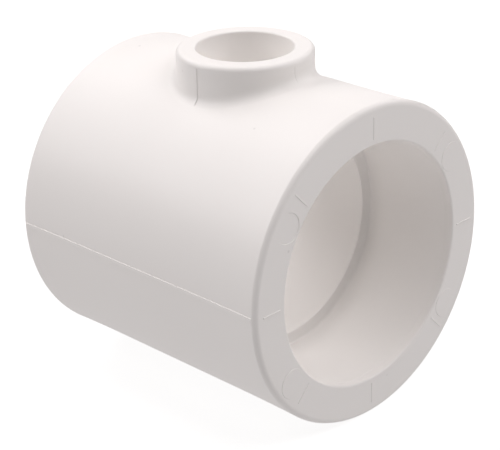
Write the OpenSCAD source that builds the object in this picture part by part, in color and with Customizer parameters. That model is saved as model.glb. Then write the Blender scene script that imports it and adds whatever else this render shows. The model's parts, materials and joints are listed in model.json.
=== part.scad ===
/* [Run] */
// Outer diameter of the run, the same from end to end
run_d = 81.5; // [80:0.5:90]
// Length of the run, from end face to end face
run_len = 83.5; // [83:0.5:110]
// Radius that rounds the outer rim of each run end
run_rim = 1.3; // [0.5:0.1:2]

/* [Run sockets] */
// Bore of the pipe socket in each end of the run
run_socket_d = 61.5; // [60:0.1:64]
// Depth of each run socket, from its end face to its pipe stop
run_socket_depth = 27; // [20:0.5:27.5]
// Bore of the waterway between the two pipe stops
waterway_d = 54.5; // [48:0.5:58]

/* [Branch] */
// Outer diameter of the branch hub
hub_d = 34.4; // [32:0.1:37]
// Height of the branch's end face above the run's axis
hub_height = 46.5; // [46:0.5:60]
// Radius that rounds the hub's outer rim
hub_rim = 1.3; // [0.5:0.1:2]
// Radius of the fillet where the hub meets the run
hub_fillet = 3; // [1:0.1:4]
// Bore of the pipe socket in the branch
branch_socket_d = 24.3; // [20:0.1:25]
// Depth of the branch socket, from its end face to its pipe stop
branch_socket_depth = 16; // [12:0.5:16.5]
// Bore of the short waterway below the branch's pipe stop
branch_waterway_d = 20; // [14:0.5:20]

/* [Mouths and marks] */
// Bevel at the mouth of every socket
mouth_bevel = 0.4; // [0.2:0.1:0.8]
// Width of the alignment ribs along the run and up the hub
rib_w = 1.1; // [0.6:0.1:2]
// Height of the alignment ribs above the surface that they run along
rib_h = 0.2; // [0.1:0.05:0.4]
// Width of the angle marks on the run's end faces
mark_w = 0.45; // [0.3:0.05:1]
// Height of the angle marks above the end face
mark_h = 0.15; // [0.1:0.05:0.3]

/* [Hidden] */

$fn = 96;
run_r = run_d / 2;
run_half = run_len / 2;
run_socket_r = run_socket_d / 2;
waterway_r = waterway_d / 2;
stop_x = run_half - run_socket_depth;
hub_r = hub_d / 2;
branch_socket_r = branch_socket_d / 2;
branch_waterway_r = branch_waterway_d / 2;
// The run rests on its lowest rib, and its axis is this far above the ground
axis_z = run_r + rib_h;
// The branch's lining goes through the run's wall, and this is how thick it is
lining_wall = 1.4;
lining_r = branch_socket_r + lining_wall;
// Extra length that carries a cutting shape clear of the surface it cuts
clear = 1;
// Angles between neighbouring marks and ribs
mark_step = 45;
rib_step = 90;
// Radial gap between an angle mark and the two edges of its end face
mark_inset = 1.3;
// Depth that the hub's fillet is sunk under the two surfaces it joins
sink = 0.05;
foot_r = hub_r - sink;
saddle_r = run_r - sink;
// Sections round the hub's fillet, steps across its arc and depth under its foot
fillet_sides = 72;
fillet_steps = 7;
fillet_depth = 3;
plastic = [0.93, 0.92, 0.91];

// Turns a shape drawn along +Z so that it lies along +X on the run's axis
module along_run() {
    translate([0, 0, axis_z])
        rotate([0, 90, 0])
            children();
}

// Solid round bar from low to high, with one raised rib at each quarter turn
module ribbed_bar(r, low, high, rib_high) {
    translate([0, 0, low])
        cylinder(r = r, h = high - low);
    intersection() {
        translate([0, 0, low])
            cylinder(r = r + rib_h, h = rib_high - low);
        union() {
            for (turn = [0, rib_step]) {
                rotate(turn)
                    translate([-r - clear, -rib_w / 2, low])
                        cube([2 * (r + clear), rib_w, rib_high - low]);
            }
        }
    }
}

// Outer skin of the whole run, as a solid bar along +Z
module run_bar(low, high) {
    ribbed_bar(run_r, low, high, high);
}

// Material outside a rounded rim, to be cut from a bar that ends at height top
module rim_cut(r, top, round_r) {
    rotate_extrude()
        difference() {
            translate([r - round_r, top - round_r])
                square([round_r + clear, round_r + clear]);
            translate([r - round_r, top - round_r])
                circle(r = round_r);
        }
}

// Bore from low up to a mouth at height top, bevelled at the mouth
module bevelled_bore(r, low, top) {
    translate([0, 0, low])
        cylinder(r = r, h = top - low + clear);
    translate([0, 0, top - mouth_bevel])
        cylinder(r1 = r, r2 = r + 2 * mouth_bevel, h = 2 * mouth_bevel);
}

// Short raised bars on an end face, one at each eighth of a turn
module angle_marks() {
    for (turn = [0 : mark_step : 360 - mark_step]) {
        rotate(turn)
            translate([run_socket_r + mark_inset, -mark_w / 2, run_half - clear])
                cube([run_r - run_socket_r - 2 * mark_inset - run_rim / 2, mark_w, clear + mark_h]);
    }
}

// One end of the run: the wall around a pipe socket, drawn with its mouth at +Z
module run_socket() {
    difference() {
        ribbed_bar(run_r, stop_x, run_half, run_half - run_rim);
        rim_cut(run_r, run_half, run_rim);
        bevelled_bore(run_socket_r, stop_x - clear, run_half);
    }
    angle_marks();
}

module inlet_socket() {
    color(plastic)
        along_run()
            run_socket();
}

module outlet_socket() {
    color(plastic)
        along_run()
            mirror([0, 0, 1])
                run_socket();
}

// Middle of the run, whose two end faces are the pipe stops
module centre_body() {
    color(plastic)
        difference() {
            along_run()
                run_bar(-stop_x, stop_x);
            along_run()
                translate([0, 0, -stop_x - clear])
                    cylinder(r = waterway_r, h = 2 * (stop_x + clear));
            translate([0, 0, axis_z])
                cylinder(r = lining_r, h = run_r + clear);
        }
}

// The hub's fillet is the path of a ball that rolls round the foot of the hub,
// touching the hub and the run. It starts and ends just under both surfaces.
function unit(v) = v / norm(v);
function ball_xy(turn) = (foot_r + hub_fillet) * [cos(turn), sin(turn)];
function ball_z(turn) = sqrt(pow(saddle_r + hub_fillet, 2) - pow(ball_xy(turn)[1], 2));
function ball(turn) = [ball_xy(turn)[0], ball_xy(turn)[1], ball_z(turn)];
function to_hub(turn) = [-cos(turn), -sin(turn), 0];
function to_run(turn) = unit([0, -ball_xy(turn)[1], -ball_z(turn)]);
function between(a, b, t, whole) =
    (sin((1 - t) * whole) * a + sin(t * whole) * b) / sin(whole);
function fillet_point(turn, t) =
    let (a = to_hub(turn), b = to_run(turn))
        ball(turn) + hub_fillet * between(a, b, t, acos(a * b));
// One closed section of the fillet: inner foot, inner top, the arc and outer foot
function fillet_section(turn) =
    let (top = fillet_point(turn, 0), end = fillet_point(turn, 1), inner = lining_r / foot_r)
        concat(
            [[top[0] * inner, top[1] * inner, end[2] - fillet_depth]],
            [[top[0] * inner, top[1] * inner, top[2]]],
            [for (i = [0 : fillet_steps]) fillet_point(turn, i / fillet_steps)],
            [[end[0], end[1], end[2] - fillet_depth]]
        );

module fillet_ring() {
    sections = [for (i = [0 : fillet_sides - 1]) fillet_section(i * 360 / fillet_sides)];
    side = len(sections[0]);
    points = [for (s = sections) each s];
    faces = [
        for (i = [0 : fillet_sides - 1])
            for (j = [0 : side - 1])
                let (
                    a = i * side + j,
                    b = i * side + (j + 1) % side,
                    c = ((i + 1) % fillet_sides) * side + (j + 1) % side,
                    d = ((i + 1) % fillet_sides) * side + j
                )
                    each [[a, c, b], [a, d, c]]
    ];
    polyhedron(points = points, faces = faces);
}

// The hub on top of the run, without its bore, drawn from the run's axis up
module hub() {
    difference() {
        union() {
            ribbed_bar(hub_r, 0, hub_height, hub_height - hub_rim);
            fillet_ring();
        }
        rim_cut(hub_r, hub_height, hub_rim);
        rotate([0, 90, 0])
            run_bar(-run_half, run_half);
    }
}

// The lining goes down through the run's wall to the waterway
module branch_lining() {
    difference() {
        cylinder(r = lining_r, h = hub_height - hub_rim);
        rotate([0, 90, 0])
            translate([0, 0, -run_half])
                cylinder(r = waterway_r, h = run_len);
    }
}

// Branch: its hub, its pipe socket and the pipe stop at the foot of the socket
module branch_socket() {
    color(plastic)
        translate([0, 0, axis_z])
            difference() {
                union() {
                    hub();
                    branch_lining();
                }
                bevelled_bore(branch_socket_r, hub_height - branch_socket_depth, hub_height);
                cylinder(r = branch_waterway_r, h = hub_height);
            }
}

centre_body();
inlet_socket();
outlet_socket();
branch_socket();
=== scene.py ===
"""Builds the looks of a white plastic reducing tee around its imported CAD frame.

The tee is one moulding. Its four zones are drawn as four closed pieces that meet
face to face on exact shared outlines, so no joint shows between them. Lengths are
millimetres while a piece is being shaped, and metres once it is a finished mesh.
Shapes are drawn about the point where the run's axis crosses the branch's axis.
"""

from __future__ import annotations

import json
import logging
import math
from collections.abc import Callable, Sequence
from dataclasses import dataclass, field
from enum import Enum

import bpy
from mathutils import Matrix, Vector
from mathutils.geometry import delaunay_2d_cdt


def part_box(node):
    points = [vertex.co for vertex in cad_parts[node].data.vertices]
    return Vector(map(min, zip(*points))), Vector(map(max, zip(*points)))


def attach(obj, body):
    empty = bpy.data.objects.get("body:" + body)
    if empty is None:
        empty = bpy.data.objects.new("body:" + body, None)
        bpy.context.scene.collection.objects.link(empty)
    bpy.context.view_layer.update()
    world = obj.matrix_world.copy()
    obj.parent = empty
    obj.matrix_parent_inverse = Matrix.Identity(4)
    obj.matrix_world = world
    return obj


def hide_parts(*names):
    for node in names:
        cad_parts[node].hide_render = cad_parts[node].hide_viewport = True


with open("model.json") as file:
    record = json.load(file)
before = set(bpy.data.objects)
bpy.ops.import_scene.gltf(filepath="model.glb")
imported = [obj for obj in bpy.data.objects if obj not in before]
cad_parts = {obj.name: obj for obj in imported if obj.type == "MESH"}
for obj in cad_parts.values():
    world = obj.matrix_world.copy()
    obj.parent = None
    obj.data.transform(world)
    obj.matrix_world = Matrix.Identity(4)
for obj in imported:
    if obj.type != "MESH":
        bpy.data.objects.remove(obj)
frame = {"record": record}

MM = 0.001
BODY = "root"
LAMP_COLOUR = (1.0, 0.967, 0.968)

log = logging.getLogger("tee")


# ----------------------------------------------------------------- measures


@dataclass(frozen=True)
class TeeSizes:
    """Sizes shared by the pieces, in millimetres from the crossing of the axes."""

    axis_height: float
    run_radius: float
    run_half: float
    stop: float
    socket_radius: float
    hub_top: float
    branch_radius: float
    branch_stop: float
    rib_height: float = 0.2
    rib_width: float = 1.1
    mark_height: float = 0.15
    waist: float = 0.3
    waist_half: float = 21.0
    waterway_radius: float = 27.25
    branch_waterway_radius: float = 10.0
    hub_radius: float = 17.2
    hub_fillet: float = 3.0
    lining_radius: float = 13.55

    @classmethod
    def from_frame(cls, record: dict) -> TeeSizes:
        """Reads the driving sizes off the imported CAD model.

        Args:
            record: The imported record, whose mounts give the sockets.

        Returns:
            The sizes, with the origin moved to the crossing of the axes.
        """
        mounts = {mount["name"]: mount for mount in record["mounts"]}
        inlet, branch = mounts["inlet_pipe"], mounts["branch_pipe"]
        axis_height = inlet["pos_m"][2] / MM
        low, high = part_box("centre_body")
        inlet_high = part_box("inlet_socket")[1]
        branch_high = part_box("branch_socket")[1]
        branch_middle = branch["pos_m"][2] / MM - axis_height
        return cls(
            axis_height=axis_height,
            run_radius=(high[1] - low[1]) / MM / 2 - cls.rib_height,
            run_half=inlet_high[0] / MM - cls.mark_height,
            stop=high[0] / MM,
            socket_radius=inlet["dims"]["r_mm"],
            hub_top=branch_high[2] / MM - axis_height,
            branch_radius=branch["dims"]["r_mm"],
            branch_stop=branch_middle - branch["dims"]["length_mm"] / 2,
        )

    @property
    def waist_radius(self) -> float:
        """Outer radius of the run's slightly drawn-in middle."""
        return self.run_radius - self.waist

    def skin_radius(self, x: float) -> float:
        """Outer radius of the run at a distance along its axis.

        Args:
            x: Distance from the middle of the run.

        Returns:
            The radius, which grows smoothly from the waist to each end.
        """
        if abs(x) <= self.waist_half:
            return self.waist_radius
        t = (abs(x) - self.waist_half) / (self.run_half - self.waist_half)
        return self.waist_radius + self.waist * min(t, 1.0) ** 2


# ------------------------------------------------------------ mesh building


@dataclass(frozen=True)
class Corner:
    """One corner of a face: where it is, and the way the surface faces there."""

    place: Vector
    normal: Vector


Ring = list[Corner]


@dataclass
class Shell:
    """A closed surface under construction, kept as faces with their own normals."""

    weld: float = 1e-4
    places: list[Vector] = field(default_factory=list)
    faces: list[list[int]] = field(default_factory=list)
    normals: list[Vector] = field(default_factory=list)
    known: dict[tuple[int, int, int], int] = field(default_factory=dict)

    def index(self, place: Vector) -> int:
        """Number of the vertex at a place, made on its first use."""
        key = tuple(round(value / self.weld) for value in place)
        if key not in self.known:
            self.known[key] = len(self.places)
            self.places.append(place)
        return self.known[key]

    def face(self, corners: Sequence[Corner]) -> None:
        """Adds one face, wound so that it looks the way its normals point.

        Args:
            corners: The face's corners in order, either way round.
        """
        numbers: list[int] = []
        kept: list[Corner] = []
        for corner in corners:
            number = self.index(corner.place)
            if number not in numbers:
                numbers.append(number)
                kept.append(corner)
        if len(numbers) < 3:
            return
        across = Vector((0, 0, 0))
        for i, number in enumerate(numbers):
            across += self.places[number].cross(self.places[numbers[i - 1]])
        facing = sum((corner.normal for corner in kept), Vector((0, 0, 0)))
        if across.dot(facing) > 0:
            numbers.reverse()
            kept.reverse()
        self.faces.append(numbers)
        self.normals.extend(corner.normal for corner in kept)

    def band(self, first: Ring, second: Ring, closed: bool = True) -> None:
        """Joins two rings of the same count by a row of four-sided faces.

        Args:
            first: The corners of one edge of the band.
            second: The corners of its other edge.
            closed: Whether the band runs all the way round.
        """
        count = len(first)
        for i in range(count if closed else count - 1):
            j = (i + 1) % count
            self.face([first[i], first[j], second[j], second[i]])

    def bands(self, rings: Sequence[Ring]) -> None:
        """Joins each ring to the next by a band."""
        for first, second in zip(rings, rings[1:]):
            self.band(first, second)

    def without_repeats(self, loop: Sequence[Vector]) -> list[Vector]:
        """The loop's places, with those that weld to the one before left out."""
        return [place for i, place in enumerate(loop) if (place - loop[i - 1]).length > 2 * self.weld]

    def flat(
        self,
        outline: Sequence[Vector],
        holes: Sequence[Sequence[Vector]],
        normal: Vector,
    ) -> None:
        """Fills the flat area between an outline and the holes in it.

        Args:
            outline: Places round the outer edge, in one plane across the X axis.
            holes: Places round each hole, in the same plane.
            normal: The way the filled area faces.
        """
        loops = [self.without_repeats(loop) for loop in (outline, *holes)]
        places = [place for loop in loops for place in loop]
        edges: list[tuple[int, int]] = []
        start = 0
        for loop in loops:
            count = len(loop)
            edges += [(start + i, start + (i + 1) % count) for i in range(count)]
            start += count
        flat_places = [Vector((place.y, place.z)) for place in places]
        made, _, faces, origins, _, _ = delaunay_2d_cdt(flat_places, edges, [], 0, 1e-6)
        source = [places[origin[0]] for origin in origins]
        rings = [[(place.y, place.z) for place in loop] for loop in loops]
        for triangle in faces:
            middle = sum((made[i] for i in triangle), Vector((0, 0))) / len(triangle)
            if not inside(middle, rings[0]) or any(inside(middle, ring) for ring in rings[1:]):
                continue
            self.face([Corner(source[i], normal) for i in triangle])

    def to_object(self, name: str, sizes: TeeSizes) -> bpy.types.Object:
        """Makes the finished object, in metres and in the CAD frame.

        Args:
            name: The piece's name.
            sizes: The sizes, for the height of the run's axis.

        Returns:
            The new object, linked to the scene.
        """
        lift = Vector((0, 0, sizes.axis_height))
        mesh = bpy.data.meshes.new(name)
        mesh.from_pydata([(place + lift) * MM for place in self.places], [], self.faces)
        mesh.polygons.foreach_set("use_smooth", [True] * len(mesh.polygons))
        mesh.normals_split_custom_set([normal.normalized() for normal in self.normals])
        mesh.update()
        piece = bpy.data.objects.new(name, mesh)
        bpy.context.scene.collection.objects.link(piece)
        return piece


def inside(point: Vector, ring: Sequence[tuple[float, float]]) -> bool:
    """Tells whether a flat point lies inside a closed outline.

    Args:
        point: The point.
        ring: The outline's points in order.

    Returns:
        True where a line from the point crosses the outline an odd number of times.
    """
    crossed = False
    for (x0, y0), (x1, y1) in zip(ring, [*ring[1:], ring[0]]):
        if (y0 > point.y) != (y1 > point.y):
            if point.x < x0 + (point.y - y0) * (x1 - x0) / (y1 - y0):
                crossed = not crossed
    return crossed


def quarter(steps: int, start: float = 0.0, end: float = 90.0) -> list[tuple[float, float]]:
    """Cosine and sine of evenly spaced angles along an arc.

    Args:
        steps: How many chords the arc has.
        start: First angle in degrees.
        end: Last angle in degrees.

    Returns:
        One (cosine, sine) pair for each point.
    """
    angles = [math.radians(start + (end - start) * i / steps) for i in range(steps + 1)]
    return [(math.cos(angle), math.sin(angle)) for angle in angles]


# --------------------------------------------------------------- rib outline


@dataclass(frozen=True)
class Station:
    """One point of an outline that goes round an axis, with or without a rib."""

    angle: float
    lift: float
    lean: float

    def softened(self, share: float) -> Station:
        """The same station, with its rib's height and flanks cut to a share."""
        return Station(self.angle, self.lift * share, self.lean * share)

    @property
    def out(self) -> tuple[float, float]:
        """Cosine and sine of the station's angle."""
        return math.cos(self.angle), math.sin(self.angle)

    @property
    def facing(self) -> tuple[float, float]:
        """Cosine and sine of the way the outline faces at the station."""
        return math.cos(self.angle + self.lean), math.sin(self.angle + self.lean)


@dataclass(frozen=True)
class RibbedOutline:
    """A circle with narrow raised ribs, cut into stations that every ring shares."""

    radius: float
    rib_width: float
    rib_angles: tuple[float, ...]
    spacing: float = 1.5
    flank: float = 0.07
    flank_lean: float = 55.0
    shoulder: float = 0.8
    clearance: float = 1.6
    crease: float = 1e-7

    def stations(self) -> list[Station]:
        """Lists the stations in order of angle.

        Returns:
            Stations from 0 to 360 degrees, with doubled ones at each crisp rib edge.
        """
        half = self.rib_width / 2 / self.radius
        flank = self.flank / self.radius
        lean = math.radians(self.flank_lean)
        found: list[Station] = []
        for i in range(round(360 / self.spacing)):
            angle = math.radians(i * self.spacing)
            gaps = [abs(turn_between(angle, math.radians(rib))) for rib in self.rib_angles]
            if all(gap > half * self.clearance for gap in gaps):
                found.append(Station(angle, 0.0, 0.0))
        for rib in self.rib_angles:
            middle = math.radians(rib)
            found += [
                Station(middle - half - flank, 0.0, 0.0),
                Station(middle - half - flank + self.crease, 0.0, -lean),
                Station(middle - half, self.shoulder, -lean),
                Station(middle - half + flank, 1.0, 0.0),
                Station(middle + half - flank, 1.0, 0.0),
                Station(middle + half, self.shoulder, lean),
                Station(middle + half + flank - self.crease, 0.0, lean),
                Station(middle + half + flank, 0.0, 0.0),
            ]
        return sorted(found, key=lambda station: station.angle % math.tau)


def turn_between(first: float, second: float) -> float:
    """Signed angle from second to first, between minus and plus half a turn."""
    return (first - second + math.pi) % math.tau - math.pi


# ------------------------------------------------------------------- finish


@dataclass(frozen=True)
class WhitePlastic:
    """Satin, warm white moulded plastic, with the marks that moulding leaves."""

    colour: tuple[float, float, float] = (0.966, 0.945, 0.926)
    warm: tuple[float, float, float] = (0.96, 0.935, 0.912)
    roughness: float = 0.42
    ior: float = 1.5
    cloud_scale: float = 38.0
    grain_scale: float = 2600.0
    grain_height: float = 0.000012
    speck_cell: float = 95.0
    speck_share: float = 0.05

    def material(self, name: str) -> bpy.types.Material:
        """Builds the shader.

        Args:
            name: The material's name.

        Returns:
            A material whose colour, roughness and bump come from noise in the
            object's own coordinates.
        """
        material = bpy.data.materials.new(name)
        material.use_nodes = True
        nodes, links = material.node_tree.nodes, material.node_tree.links
        shader = nodes["Principled BSDF"]
        shader.inputs["IOR"].default_value = self.ior
        shader.inputs["Specular IOR Level"].default_value = 0.5
        where = nodes.new("ShaderNodeTexCoord").outputs["Object"]

        clouds = nodes.new("ShaderNodeTexNoise")
        clouds.inputs["Scale"].default_value = self.cloud_scale
        clouds.inputs["Detail"].default_value = 4.0
        clouds.inputs["Roughness"].default_value = 0.55
        links.new(where, clouds.inputs["Vector"])

        tint = nodes.new("ShaderNodeMix")
        tint.data_type = "RGBA"
        tint.inputs["A"].default_value = (*self.colour, 1.0)
        tint.inputs["B"].default_value = (*self.warm, 1.0)
        links.new(clouds.outputs["Fac"], tint.inputs["Factor"])

        specks = nodes.new("ShaderNodeTexVoronoi")
        specks.inputs["Scale"].default_value = self.speck_cell
        links.new(where, specks.inputs["Vector"])
        speck = nodes.new("ShaderNodeMapRange")
        speck.inputs["From Min"].default_value = self.speck_share * 0.4
        speck.inputs["From Max"].default_value = self.speck_share
        speck.inputs["To Min"].default_value = 0.82
        speck.inputs["To Max"].default_value = 1.0
        links.new(specks.outputs["Distance"], speck.inputs["Value"])
        dotted = nodes.new("ShaderNodeMix")
        dotted.data_type = "RGBA"
        dotted.blend_type = "MULTIPLY"
        dotted.inputs["Factor"].default_value = 1.0
        links.new(tint.outputs["Result"], dotted.inputs["A"])
        links.new(speck.outputs["Result"], dotted.inputs["B"])
        links.new(dotted.outputs["Result"], shader.inputs["Base Color"])

        polish = nodes.new("ShaderNodeMapRange")
        polish.inputs["To Min"].default_value = self.roughness - 0.05
        polish.inputs["To Max"].default_value = self.roughness + 0.08
        links.new(clouds.outputs["Fac"], polish.inputs["Value"])
        links.new(polish.outputs["Result"], shader.inputs["Roughness"])

        grain = nodes.new("ShaderNodeTexNoise")
        grain.inputs["Scale"].default_value = self.grain_scale
        grain.inputs["Detail"].default_value = 2.0
        links.new(where, grain.inputs["Vector"])
        bump = nodes.new("ShaderNodeBump")
        bump.inputs["Strength"].default_value = 0.35
        bump.inputs["Distance"].default_value = self.grain_height
        links.new(grain.outputs["Fac"], bump.inputs["Height"])
        links.new(bump.outputs["Normal"], shader.inputs["Normal"])
        return material


# ------------------------------------------------------------------- pieces


class RunEnd(Enum):
    """The two ends of the run, by the node that holds each and its way along X."""

    INLET = ("inlet_socket", 1.0)
    OUTLET = ("outlet_socket", -1.0)

    @property
    def node(self) -> str:
        """Name of the CAD node."""
        return self.value[0]

    @property
    def way(self) -> float:
        """Plus one where the mouth faces +X, minus one where it faces -X."""
        return self.value[1]


@dataclass
class MouldedPiece:
    """What the four zones of the moulding share."""

    sizes: TeeSizes
    material: bpy.types.Material
    outline_stations: list[Station] = field(init=False, default_factory=list)

    def dress(self, piece: bpy.types.Object, node: str) -> bpy.types.Object:
        """Gives a piece its finish and its place in the frame.

        Args:
            piece: The new object.
            node: The CAD node that it stands for.

        Returns:
            The same object.
        """
        piece.data.materials.append(self.material)
        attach(piece, BODY)
        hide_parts(node)
        log.info("%s: %d faces, stands for %s", piece.name, len(piece.data.polygons), node)
        return piece


@dataclass
class RunSocket(MouldedPiece):
    """One end of the run: the wall round a pipe socket, and its marked end face."""

    end: RunEnd = RunEnd.INLET
    rim_round: float = 1.5
    rim_reach: float = 75.0
    rim_step: float = 0.05
    rim_steps: int = 10
    wall_steps: int = 12
    wall_gap: float = 0.1
    rib_ramp: float = 0.25
    root_fillet: float = 0.6
    top_rib_share: float = 0.25
    mark_width: float = 0.45
    mark_from: float = 32.3
    mark_to: float = 38.0
    mark_slope: float = 0.1
    mark_count: int = 8
    mouth_round: float = 0.5
    lead_in: float = 2.3
    lead_step: float = 0.06
    pin_radius: float = 3.8
    pin_circle: float = 35.3
    pin_turn: float = 54.0
    top_pin_turn: float = 56.6
    pin_rise: float = 0.1
    pin_sink: float = 0.16
    pin_sides: int = 64
    pin_lean: float = 1.6
    pin_slope: float = 0.6

    def outline(self) -> list[Station]:
        """Stations round the run, with a rib at each quarter turn and a faint one on top."""
        outline = RibbedOutline(self.sizes.run_radius, self.sizes.rib_width, (0, 90, 180, 270))
        return [
            station.softened(self.top_rib_share) if station.out[1] > 0.9 else station
            for station in outline.stations()
        ]

    def ring(
        self,
        x: float,
        radius: float,
        facing: tuple[float, float],
        ribs: float = 0.0,
    ) -> Ring:
        """One ring of corners round the run's axis.

        Args:
            x: Distance from the middle of the run, towards this end.
            radius: The ring's radius.
            facing: How far the surface faces along the axis and away from it.
            ribs: Share of the full rib height that stands up on this ring.

        Returns:
            The corners, one for each station.
        """
        along, out = facing
        corners: Ring = []
        for station in self.outline_stations:
            cosine, sine = station.out
            face_y, face_z = station.facing if ribs else station.out
            reach = radius + station.lift * self.sizes.rib_height * ribs
            place = Vector((x * self.end.way, reach * cosine, reach * sine))
            normal = Vector((along * self.end.way, out * face_y, out * face_z))
            corners.append(Corner(place, normal))
        return corners

    def outer_wall(self, rim_start: float) -> list[Ring]:
        """Rings along the outside, from the pipe stop to the rim.

        Args:
            rim_start: Where the rounded rim begins.

        Returns:
            The rings, with the ribs sloping down just short of the rim.
        """
        sizes = self.sizes
        steps = self.wall_steps
        reach = rim_start - self.wall_gap - sizes.waist_half
        stops = [sizes.stop] + [sizes.waist_half + reach * i / steps for i in range(steps)]
        rings: list[Ring] = []
        for x in stops:
            share = max(0.0, (x - sizes.waist_half) / (sizes.run_half - sizes.waist_half))
            slope = 2 * sizes.waist * share / (sizes.run_half - sizes.waist_half)
            rings.append(self.ring(x, sizes.skin_radius(x), (-slope, 1.0), ribs=1.0))
        edge_radius = sizes.skin_radius(rim_start)
        rings.append(self.ring(rim_start - self.rib_ramp, edge_radius, (0, 1), ribs=1.0))
        rings.append(self.ring(rim_start, edge_radius, (0, 1)))
        return rings

    def rim(self) -> list[Ring]:
        """Rings over the rounded rim, from the side to the end face."""
        sizes = self.sizes
        middle_x = sizes.run_half - self.rim_round
        reach = math.radians(self.rim_reach)
        top = sizes.run_radius - self.rim_step
        middle_r = top - self.rim_round * math.sin(reach)
        rings: list[Ring] = []
        for cosine, sine in quarter(self.rim_steps, self.rim_reach, 0.0):
            x = middle_x + self.rim_round * cosine
            rings.append(self.ring(x, middle_r + self.rim_round * sine, (cosine, sine)))
        return rings

    def bore(self) -> list[Ring]:
        """Rings from the end face in through the mouth to the pipe stop."""
        sizes = self.sizes
        edge, root, step = self.mouth_round, self.root_fillet, self.lead_step
        rings: list[Ring] = []
        for cosine, sine in quarter(6):
            x = sizes.run_half - edge + edge * cosine
            radius = sizes.socket_radius + step + edge - edge * sine
            rings.append(self.ring(x, radius, (cosine, -sine)))
        inner = sizes.run_half - self.lead_in
        level, sloping = (0, -1), (0.7, -0.7)
        rings.append(self.ring(inner, sizes.socket_radius + step, level))
        rings.append(self.ring(inner, sizes.socket_radius + step, sloping))
        rings.append(self.ring(inner - step, sizes.socket_radius, sloping))
        rings.append(self.ring(inner - step, sizes.socket_radius, level))
        for cosine, sine in quarter(5):
            x = sizes.stop + root - root * sine
            radius = sizes.socket_radius - root + root * cosine
            rings.append(self.ring(x, radius, (sine, -cosine)))
        return rings

    def angle_mark(self, shell: Shell, angle: float) -> list[Vector]:
        """Raises one radial mark on the end face.

        Args:
            shell: The shell that takes the mark's faces.
            angle: Where the mark stands, in radians.

        Returns:
            The mark's outline on the end face.
        """
        out = Vector((0, math.cos(angle), math.sin(angle)))
        side = Vector((0, -math.sin(angle), math.cos(angle)))
        way = Vector((self.end.way, 0, 0))
        face = way * self.sizes.run_half
        slope = self.mark_slope

        def loop(inset: float, height: float) -> list[Vector]:
            """Corners of the mark at one height."""
            half = self.mark_width / 2 - inset
            near, far = self.mark_from + inset, self.mark_to - inset
            spots = ((near, -half), (far, -half), (far, half), (near, half))
            return [face + out * r + side * s + way * height for r, s in spots]

        foot, top = loop(0.0, 0.0), loop(slope, self.sizes.mark_height)
        for i in range(len(foot)):
            j = (i + 1) % len(foot)
            away = (foot[i] + foot[j]) / 2 - face - out * (self.mark_from + self.mark_to) / 2
            across = side if i % 2 == 0 else out
            tilt = across * math.copysign(1, away.dot(across))
            normal = (way * slope + tilt * self.sizes.mark_height).normalized()
            shell.face([Corner(p, normal) for p in (foot[i], foot[j], top[j], top[i])])
        shell.face([Corner(place, way) for place in top])
        return foot

    def pin_mark(self, shell: Shell, angle: float, rise: float) -> list[Vector]:
        """Makes the round mark that an ejector pin leaves on the end face.

        Args:
            shell: The shell that takes the mark's faces.
            angle: Where the mark's middle lies, in radians.
            rise: How far the mark stands out, or less than zero where it's sunk.

        Returns:
            The mark's outline on the end face.
        """
        way = Vector((self.end.way, 0, 0))
        middle = way * self.sizes.run_half
        middle += Vector((0, math.cos(angle), math.sin(angle))) * self.pin_circle
        sides = self.pin_sides
        slope = math.copysign(self.pin_lean, rise)
        wall = abs(rise) * self.pin_slope
        levels = ((0.0, 0.0, slope), (wall, rise, slope), (wall, rise, 0.0))
        rings: list[Ring] = []
        for inset, height, lean in levels:
            ring: Ring = []
            for i in range(sides):
                turn = math.tau * i / sides
                out = Vector((0, math.cos(turn), math.sin(turn)))
                place = middle + out * (self.pin_radius - inset) + way * height
                ring.append(Corner(place, (way + out * lean).normalized()))
            rings.append(ring)
        shell.bands(rings)
        shell.face(rings[-1])
        return [corner.place for corner in rings[0]]

    def build(self) -> bpy.types.Object:
        """Builds this end of the run.

        Returns:
            The finished piece.
        """
        self.outline_stations = self.outline()
        shell = Shell()
        rim = self.rim()
        rim_depth = self.rim_round * (1 - math.cos(math.radians(self.rim_reach)))
        rim_start = self.sizes.run_half - rim_depth
        wall = self.outer_wall(rim_start)
        bore = self.bore()
        shell.bands(wall)
        way = Vector((self.end.way, 0, 0))
        last = [Corner(corner.place, way) for corner in wall[-1]]
        shell.band(last, self.ring(rim_start, self.sizes.run_radius - self.rim_step, (1.0, 0.0)))
        shell.bands(rim)
        shell.bands(bore)
        base_in = self.ring(self.sizes.stop, self.sizes.socket_radius - self.root_fillet, (-1, 0))
        base_out = [Corner(corner.place, -way) for corner in wall[0]]
        shell.band(base_in, base_out)

        turns = [math.tau * i / self.mark_count for i in range(self.mark_count)]
        marks = [self.angle_mark(shell, turn) for turn in turns]
        for half_turn in (0, 180):
            for side in (-1, 1):
                turn = self.top_pin_turn if half_turn == 0 else self.pin_turn
                turn = math.radians(90 + half_turn + side * turn)
                sunk = half_turn == 0 and side == 1
                marks.append(self.pin_mark(shell, turn, -self.pin_sink if sunk else self.pin_rise))
        inner = [corner.place for corner in bore[0]]
        outer = [corner.place for corner in rim[-1]]
        shell.flat(outer, [inner, *marks], way)
        return self.dress(shell.to_object(f"tee_{self.end.node}", self.sizes), self.end.node)


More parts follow.
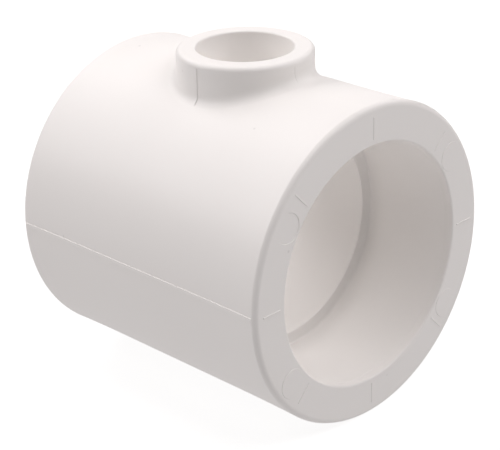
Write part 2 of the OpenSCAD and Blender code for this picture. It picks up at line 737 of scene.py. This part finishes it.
@dataclass
class CentreBody(MouldedPiece):
    """Middle of the run, with the hole that the branch's lining passes through."""

    stop_edge: float = 0.3
    hole_steps: int = 36
    hole_margin: float = 0.004

    def columns(self, radius: float, ribs: tuple[float, ...]) -> list[Station]:
        """Stations round the body, close together over the hole.

        Args:
            radius: Radius of the surface that the stations lie on.
            ribs: Angles of the ribs on it, in degrees.

        Returns:
            Stations in order, starting and ending below the body's middle.
        """
        outline = RibbedOutline(self.sizes.run_radius, self.sizes.rib_width, ribs)
        hole = math.asin(self.sizes.lining_radius / radius)
        top = math.pi / 2
        clear = hole + self.hole_margin
        found = [s for s in outline.stations() if abs(turn_between(s.angle, top)) > clear]
        for i in range(self.hole_steps + 1):
            across = -math.cos(math.pi * i / self.hole_steps)
            found.append(Station(top + math.asin(self.sizes.lining_radius * across / radius), 0, 0))
        return sorted(found, key=lambda station: station.angle % math.tau)

    def hole_reach(self, station: Station, radius: float) -> float:
        """Half the hole's length along X at a station, or zero beside the hole."""
        y = radius * math.cos(station.angle)
        left = self.sizes.lining_radius**2 - y**2
        over = math.sin(station.angle) > 0
        return math.sqrt(left) if over and left > 1e-6 else 0.0

    def skin(
        self,
        shell: Shell,
        stations: Sequence[Station],
        radius: float,
        half: float,
        inward: bool,
    ) -> list[list[Vector]]:
        """Lays the outer or inner round wall, leaving the hole open.

        Args:
            shell: The shell that takes the faces.
            stations: Stations round the wall.
            radius: The wall's radius.
            half: How far the wall reaches each way along X.
            inward: Whether the wall faces the run's axis.

        Returns:
            The places along the wall's edge at minus X and at plus X.
        """
        sign = -1.0 if inward else 1.0

        def corner(station: Station, x: float) -> Corner:
            """One corner of the wall."""
            cosine, sine = station.out
            reach = radius + station.lift * self.sizes.rib_height
            face_y, face_z = station.facing
            return Corner(Vector((x, reach * cosine, reach * sine)), Vector((0, face_y, face_z)) * sign)

        for first, second in zip(stations, [*stations[1:], stations[0]]):
            a, b = self.hole_reach(first, radius), self.hole_reach(second, radius)
            if a == 0 and b == 0:
                near = [corner(first, -half), corner(first, half)]
                far = [corner(second, half), corner(second, -half)]
                shell.face([*near, *far])
                continue
            for way in (-1, 1):
                shell.face(
                    [
                        corner(first, way * a),
                        corner(first, way * half),
                        corner(second, way * half),
                        corner(second, way * b),
                    ]
                )
        return [[corner(station, way * half).place for station in stations] for way in (-1, 1)]

    def hole_wall(self, shell: Shell) -> None:
        """Lays the wall of the hole, from the waterway to the outer skin.

        Args:
            shell: The shell that takes the faces.
        """
        sizes = self.sizes
        rings: list[Ring] = []
        for radius in (sizes.waterway_radius, sizes.waist_radius):
            ring: Ring = []
            for way in (1, -1):
                for i in range(self.hole_steps):
                    across = -math.cos(math.pi * i / self.hole_steps) * way
                    y = sizes.lining_radius * -across
                    x = way * math.sqrt(max(0.0, sizes.lining_radius**2 - y**2))
                    place = Vector((x, y, math.sqrt(radius**2 - y**2)))
                    ring.append(Corner(place, Vector((-x, -y, 0)).normalized()))
            rings.append(ring)
        shell.bands(rings)

    def build(self) -> bpy.types.Object:
        """Builds the middle of the run.

        Returns:
            The finished piece.
        """
        sizes = self.sizes
        shell = Shell()
        outside = self.columns(sizes.waist_radius, (0, 180, 270))
        inside_wall = self.columns(sizes.waterway_radius, ())
        edge = self.stop_edge
        outer = self.skin(shell, outside, sizes.waist_radius, sizes.stop, False)
        self.skin(shell, inside_wall, sizes.waterway_radius, sizes.stop - edge, True)
        for way, outline in zip((-1, 1), outer):
            rings: list[Ring] = []
            for cosine, sine in quarter(4):
                ring: Ring = []
                for station in inside_wall:
                    y, z = station.out
                    radius = sizes.waterway_radius + edge - edge * cosine
                    place = Vector((way * (sizes.stop - edge + edge * sine), radius * y, radius * z))
                    ring.append(Corner(place, Vector((way * sine, -cosine * y, -cosine * z))))
                rings.append(ring)
            shell.bands(rings)
            shell.flat(outline, [[c.place for c in rings[-1]]], Vector((way, 0, 0)))
        self.hole_wall(shell)
        return self.dress(shell.to_object("tee_centre_body", sizes), "centre_body")


@dataclass
class BranchSocket(MouldedPiece):
    """The hub on top of the run, its socket, and its lining through the run's wall."""

    rim_round: float = 1.3
    mouth_round: float = 0.5
    root_fillet: float = 0.5
    stop_edge: float = 0.3
    fillet_steps: int = 14
    side_rib_start: float = 0.35
    side_rib_share: float = 0.5
    rib_fade: float = 3.0
    rib_end: float = 0.3

    def ring(
        self,
        radius: float,
        height: float | Callable[[float], float],
        facing: tuple[float, float],
        ribs: float = 0.0,
    ) -> Ring:
        """One ring of corners round the branch's axis.

        Args:
            radius: The ring's radius.
            height: Its height, or a rule that gives it from the distance across.
            facing: How far the surface faces away from the axis, and up.
            ribs: Share of the full rib height that stands up on this ring.

        Returns:
            The corners, one for each station.
        """
        out, up = facing
        corners: Ring = []
        for station in self.outline_stations:
            cosine, sine = station.out
            face_x, face_y = station.facing if ribs else station.out
            reach = radius + station.lift * self.sizes.rib_height * ribs
            z = height(reach * sine) if callable(height) else height
            place = Vector((reach * cosine, reach * sine, z))
            corners.append(Corner(place, Vector((out * face_x, out * face_y, up))))
        return corners

    def on_round(self, radius: float) -> Callable[[float], float]:
        """Rule that gives the height of a round wall from the distance across it."""
        return lambda y: math.sqrt(radius**2 - y**2)

    def fillet(self) -> list[Ring]:
        """Rings over the fillet, as a ball rolling round the hub's foot leaves it.

        Returns:
            The rings, from the run's skin up to the hub's wall.
        """
        sizes = self.sizes
        ball = sizes.hub_fillet
        rings: list[Ring] = []
        for i in range(self.fillet_steps + 1):
            t = 1 - i / self.fillet_steps
            ring: Ring = []
            for station in self.outline_stations:
                cosine, sine = station.out
                x, y = (sizes.hub_radius + ball) * cosine, (sizes.hub_radius + ball) * sine
                middle = Vector((x, y, math.sqrt((sizes.waist_radius + ball) ** 2 - y**2)))
                to_hub = Vector((-cosine, -sine, 0))
                to_run = Vector((0, -middle.y, -middle.z)).normalized()
                whole = to_hub.angle(to_run)
                toward = to_hub * math.sin((1 - t) * whole) + to_run * math.sin(t * whole)
                toward = toward / math.sin(whole)
                start = self.side_rib_start if abs(cosine) > 0.5 else 0.0
                fade = min(1.0, max(0.0, self.rib_fade * (1 - t - start)))
                normal = -toward
                if station.lean:
                    sideways = Vector((-sine, cosine, 0)) * math.tan(station.lean)
                    normal = (normal + sideways * fade).normalized()
                lift = station.lift * sizes.rib_height * fade
                ring.append(Corner(middle + toward * ball - toward * lift, normal))
            rings.append(ring)
        return rings

    def build(self) -> bpy.types.Object:
        """Builds the branch.

        Returns:
            The finished piece.
        """
        sizes = self.sizes
        outline = RibbedOutline(sizes.hub_radius, sizes.rib_width, (0, 90, 180, 270), spacing=3.0)
        self.outline_stations = [
            station.softened(self.side_rib_share) if abs(station.out[0]) > 0.5 else station
            for station in outline.stations()
        ]
        shell = Shell()
        top, stop = sizes.hub_top, sizes.branch_stop
        inner, lower = sizes.branch_radius, sizes.branch_waterway_radius

        rings = self.fillet()
        rings.append(self.ring(sizes.hub_radius, top - self.rim_round - self.rib_end, (1, 0), ribs=1.0))
        shell.bands(rings)
        rim: list[Ring] = []
        for cosine, sine in quarter(10):
            radius = sizes.hub_radius - self.rim_round + self.rim_round * cosine
            rim.append(self.ring(radius, top - self.rim_round + self.rim_round * sine, (cosine, sine)))
        shell.band(rings[-1], rim[0])
        shell.bands(rim)
        mouth: list[Ring] = []
        for cosine, sine in quarter(6, 90, 0):
            radius = inner + self.mouth_round - self.mouth_round * cosine
            height = top - self.mouth_round + self.mouth_round * sine
            mouth.append(self.ring(radius, height, (-cosine, sine)))
        shell.band(rim[-1], mouth[0])
        shell.bands(mouth)
        root: list[Ring] = []
        for cosine, sine in quarter(5):
            radius = inner - self.root_fillet + self.root_fillet * cosine
            height = stop + self.root_fillet - self.root_fillet * sine
            root.append(self.ring(radius, height, (-cosine, sine)))
        shell.band(mouth[-1], root[0])
        shell.bands(root)
        edge: list[Ring] = []
        for cosine, sine in quarter(4, 90, 0):
            radius = lower + self.stop_edge - self.stop_edge * cosine
            edge.append(self.ring(radius, stop - self.stop_edge + self.stop_edge * sine, (-cosine, sine)))
        shell.band(root[-1], edge[0])
        shell.bands(edge)

        water = self.on_round(sizes.waterway_radius)
        shell.band(edge[-1], self.ring(lower, water, (-1, 0)))
        saddle_in = self.ring(lower, water, (0, -1))
        saddle_out = self.ring(sizes.lining_radius, water, (0, -1))
        for ring in (saddle_in, saddle_out):
            for i, corner in enumerate(ring):
                ring[i] = Corner(corner.place, -Vector((0, corner.place.y, corner.place.z)).normalized())
        shell.band(saddle_in, saddle_out)
        shell.band(
            self.ring(sizes.lining_radius, water, (1, 0)),
            self.ring(sizes.lining_radius, self.on_round(sizes.waist_radius), (1, 0)),
        )
        under = self.ring(sizes.lining_radius, self.on_round(sizes.waist_radius), (0, -1))
        foot = [Corner(corner.place, Vector((0, 0, -1))) for corner in rings[0]]
        shell.band(under, foot)
        return self.dress(shell.to_object("tee_branch_socket", sizes), "branch_socket")


# -------------------------------------------------------------------- studio


@dataclass(frozen=True)
class SoftBox:
    """One square soft light, aimed at the tee.

    Its bearing is counted from the camera's side of the tee, towards the inlet's
    right-hand side, and both angles are in degrees.
    """

    name: str
    bearing: float
    height: float
    side: float
    watts: float
    away: float = 1.3

    def build(self, target: Vector, camera_azimuth: float) -> None:
        """Makes the light.

        Args:
            target: What the light points at, in metres.
            camera_azimuth: The camera's own azimuth, in degrees.
        """
        azimuth, height = math.radians(camera_azimuth + self.bearing), math.radians(self.height)
        level = math.cos(height)
        out = Vector((math.sin(azimuth) * level, -math.cos(azimuth) * level, math.sin(height)))
        data = bpy.data.lights.new(self.name, "AREA")
        data.shape = "SQUARE"
        data.size = self.side
        data.energy = self.watts
        data.color = LAMP_COLOUR
        lamp = bpy.data.objects.new(self.name, data)
        lamp.location = target + out * self.away
        lamp.rotation_euler = (-out).to_track_quat("-Z", "Y").to_euler()
        bpy.context.scene.collection.objects.link(lamp)


@dataclass(frozen=True)
class Studio:
    """A plain pale floor, soft boxes, and a long lens looking down at the tee."""

    sizes: TeeSizes
    azimuth: float = 45.1
    elevation: float = 23.71
    roll: float = -1.42
    distance: float = 428.5
    lens: float = 119.9
    aim_drop: float = 1.72
    aim_right: float = 0.08
    floor_side: float = 6.0
    floor_colour: tuple[float, float, float] = (0.35, 0.35, 0.35)
    floor_glow: float = 0.77
    bounce: float = 0.665
    bounce_side: float = 3.0
    boxes: tuple[SoftBox, ...] = (
        SoftBox("top_box", 160.0, 86.0, 0.9, 3.75),
        SoftBox("left_box", 275.0, 35.0, 0.8, 6.95),
        SoftBox("left_back_box", 225.0, 40.0, 0.8, 5.7),
        SoftBox("front_box", 45.0, 55.0, 0.6, 3.93),
        SoftBox("front_top_box", 0.0, 60.0, 0.6, 0.62),
        SoftBox("right_box", 90.0, 38.0, 0.6, 3.83),
        SoftBox("right_back_box", 135.0, 40.0, 0.8, 3.31),
        SoftBox("back_box", 180.0, 12.0, 0.8, 1.1),
    )

    def build_floor(self) -> None:
        """Lays the floor, which isn't part of the tee.

        The floor takes the tee's shadow, and the bounce light under it stands for
        the light that a pale floor sends back up.
        """
        half = self.floor_side / 2
        mesh = bpy.data.meshes.new("floor")
        corners = [(-half, -half, 0), (half, -half, 0), (half, half, 0), (-half, half, 0)]
        mesh.from_pydata(corners, [], [(0, 1, 2, 3)])
        material = bpy.data.materials.new("pale_floor")
        material.use_nodes = True
        shader = material.node_tree.nodes["Principled BSDF"]
        shader.inputs["Base Color"].default_value = (*self.floor_colour, 1.0)
        shader.inputs["Roughness"].default_value = 0.9
        shader.inputs["Specular IOR Level"].default_value = 0.0
        shader.inputs["Emission Color"].default_value = (1.0, 1.0, 1.0, 1.0)
        shader.inputs["Emission Strength"].default_value = self.floor_glow
        mesh.materials.append(material)
        floor = bpy.data.objects.new("floor", mesh)
        floor.visible_diffuse = False
        floor.visible_glossy = False
        floor.visible_shadow = False
        bpy.context.scene.collection.objects.link(floor)

        data = bpy.data.lights.new("floor_bounce", "AREA")
        data.size = self.bounce_side
        data.energy = self.bounce * math.pi * self.bounce_side**2
        data.color = LAMP_COLOUR
        lamp = bpy.data.objects.new("floor_bounce", data)
        lamp.location = (0.0, 0.0, -0.002)
        lamp.rotation_euler = (math.pi, 0.0, 0.0)
        bpy.context.scene.collection.objects.link(lamp)

    def build_room(self) -> None:
        """Puts a plain white room behind the floor's edge, which casts no light."""
        world = bpy.data.worlds.new("room")
        world.use_nodes = True
        background = world.node_tree.nodes["Background"]
        background.inputs["Color"].default_value = (1.0, 1.0, 1.0, 1.0)
        background.inputs["Strength"].default_value = 1.0
        world.cycles_visibility.diffuse = False
        world.cycles_visibility.glossy = False
        bpy.context.scene.world = world

    def build_camera(self) -> None:
        """Places the camera."""
        azimuth, elevation = math.radians(self.azimuth), math.radians(self.elevation)
        back = Vector(
            (
                math.sin(azimuth) * math.cos(elevation),
                -math.cos(azimuth) * math.cos(elevation),
                math.sin(elevation),
            )
        )
        crossing = Vector((0, 0, self.sizes.axis_height))
        right = (-back).cross(Vector((0, 0, 1))).normalized()
        place = crossing + back * self.distance
        aim = crossing - Vector((0, 0, self.aim_drop)) + right * self.aim_right
        back = (place - aim).normalized()
        right = (-back).cross(Vector((0, 0, 1))).normalized()
        up = right.cross(-back)
        roll = math.radians(self.roll)
        side = right * math.cos(roll) + up * math.sin(roll)
        top = up * math.cos(roll) - right * math.sin(roll)
        data = bpy.data.cameras.new("camera")
        data.lens = self.lens
        data.clip_start, data.clip_end = 0.01, 20.0
        camera = bpy.data.objects.new("camera", data)
        turn = Matrix((side, top, back)).transposed().to_4x4()
        camera.matrix_world = Matrix.Translation(place * MM) @ turn
        bpy.context.scene.collection.objects.link(camera)
        bpy.context.scene.camera = camera

    def build(self) -> None:
        """Builds the whole studio."""
        self.build_floor()
        self.build_room()
        self.build_camera()
        target = Vector((0, 0, self.sizes.axis_height * MM))
        for box in self.boxes:
            box.build(target, self.azimuth)
        bpy.context.scene.view_settings.view_transform = "Standard"


# ---------------------------------------------------------------------- main


def main() -> None:
    """Builds the studio and the tee's four zones."""
    logging.basicConfig(level=logging.INFO, format="%(name)s %(message)s")
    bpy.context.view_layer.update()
    sizes = TeeSizes.from_frame(frame["record"])
    log.info("sizes: %s", sizes)
    Studio(sizes).build()
    plastic = WhitePlastic().material("white_plastic")
    CentreBody(sizes, plastic).build()
    for end in RunEnd:
        RunSocket(sizes, plastic, end).build()
    BranchSocket(sizes, plastic).build()


if __name__ == "__main__":
    main()
